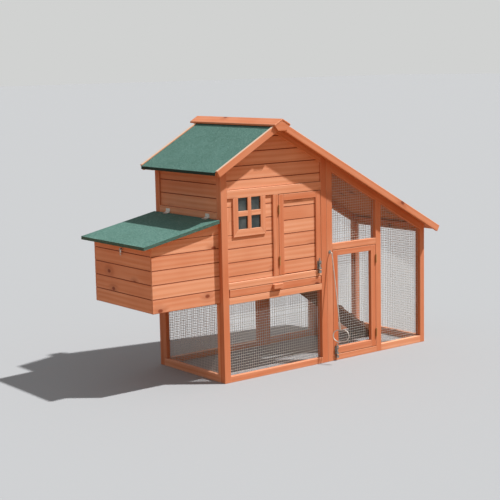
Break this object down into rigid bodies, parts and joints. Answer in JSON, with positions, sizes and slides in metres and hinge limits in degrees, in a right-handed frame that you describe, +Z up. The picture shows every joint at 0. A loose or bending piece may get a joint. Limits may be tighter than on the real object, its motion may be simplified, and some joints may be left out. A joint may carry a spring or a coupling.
{
  "type": "chicken coop",
  "caption": "Wooden chicken coop: raised house under a felted gable roof, nest box with lifting lid, hinged doors, litter tray, and a wire run with ramp and sliding pop door.",
  "frame": {"origin": "on the ground under the middle of the whole coop's box", "axes": "+X along the front from nest box to run, +Y from the doors to the back wall, +Z up"},
  "size_m": [1.782, 0.7168, 1.207],
  "materials": {
    "stained_wood": "orange-brown stained fir",
    "inner_wood": "stained fir, inside and underside",
    "roofing_felt": "green mineral roofing felt",
    "wire_mesh": "galvanised welded wire",
    "galvanised_steel": "galvanised steel",
    "tray_sheet": "galvanised sheet",
    "window_glass": "clear pane"
  },
  "bodies": {
    "coop": {"front_house_posts": "stained_wood", "front_run_posts": "stained_wood", "back_house_posts": "stained_wood", "back_run_posts": "stained_wood", "front_house_frame": "stained_wood", "back_house_frame": "stained_wood", "left_wall_frame": "stained_wood", "partition_frame": "inner_wood", "front_run_rails": "stained_wood", "back_run_rails": "stained_wood", "right_end_rails": "stained_wood", "front_wall_boards": "stained_wood", "back_wall_boards": "stained_wood", "left_wall_boards": "stained_wood", "partition_boards": "inner_wood", "window_frame": "stained_wood", "window_pane": "window_glass", "floor_slats": "inner_wood", "perch_bar": "inner_wood", "nest_wall_boards": "stained_wood", "nest_floor": "inner_wood", "nest_battens": "inner_wood", "nest_divider": "inner_wood", "left_roof_boards": "inner_wood", "left_roof_felt": "roofing_felt", "right_roof_boards": "inner_wood", "right_roof_felt": "roofing_felt", "ridge_cap": "stained_wood", "front_barge_boards": "stained_wood", "back_barge_boards": "stained_wood", "front_lower_mesh": "wire_mesh", "left_lower_mesh": "wire_mesh", "back_lower_mesh": "wire_mesh", "run_upper_mesh": "wire_mesh", "run_side_mesh": "wire_mesh", "run_back_mesh": "wire_mesh", "run_end_mesh": "wire_mesh", "pop_door_guides": "inner_wood", "ramp_board": "inner_wood", "ramp_rungs": "inner_wood", "fixed_hinge_leaves": "galvanised_steel", "hinge_pins": "galvanised_steel", "fixed_fittings": "galvanised_steel"},
    "house_door": {"house_door_frame": "stained_wood", "house_door_boards": "stained_wood", "house_door_hardware": "galvanised_steel"},
    "house_bolt": {"house_door_bolt": "galvanised_steel"},
    "run_door": {"run_door_frame": "stained_wood", "run_door_mesh": "wire_mesh", "run_door_hardware": "galvanised_steel"},
    "run_bolt": {"run_door_bolt": "galvanised_steel"},
    "nest_lid": {"nest_lid_board": "inner_wood", "nest_lid_felt": "roofing_felt", "nest_lid_hardware": "galvanised_steel"},
    "lid_hook": {"nest_hook": "galvanised_steel"},
    "litter_tray": {"tray_front": "stained_wood", "tray_pan": "tray_sheet"},
    "sliding_door": {"pop_door": "inner_wood", "pull_rod": "galvanised_steel"}
  },
  "joints": [
    {"name": "house_door_hinge", "type": "hinge", "parent": "coop", "child": "house_door", "pos_m": [-0.1347, -0.24535, 0.6595], "axis": [0, 0, -1], "range_deg": [0, 105]},
    {"name": "house_bolt_slide", "type": "slide", "parent": "house_door", "child": "house_bolt", "axis": [0, 0, -1], "range_m": [0, 0.015]},
    {"name": "run_door_hinge", "type": "hinge", "parent": "coop", "child": "run_door", "pos_m": [0.4877, -0.24535, 0.2905], "axis": [0, 0, 1], "range_deg": [0, 105]},
    {"name": "run_bolt_slide", "type": "slide", "parent": "run_door", "child": "run_bolt", "axis": [0, 0, -1], "range_m": [0, 0.015]},
    {"name": "nest_lid_hinge", "type": "hinge", "parent": "coop", "child": "nest_lid", "pos_m": [-0.4745, 0.02345, 0.76387], "axis": [0, 1, 0], "range_deg": [0, 70]},
    {"name": "lid_hook_pivot", "type": "hinge", "parent": "coop", "child": "lid_hook", "pos_m": [-0.8455, 0.02345, 0.64287], "axis": [-1, 0, 0], "range_deg": [0, 180]},
    {"name": "litter_tray_slide", "type": "slide", "parent": "coop", "child": "litter_tray", "axis": [0, -1, 0], "range_m": [0, 0.45]},
    {"name": "pop_door_slide", "type": "slide", "parent": "coop", "child": "sliding_door", "axis": [0, -1, 0], "range_m": [0, 0.223]}
  ]
}
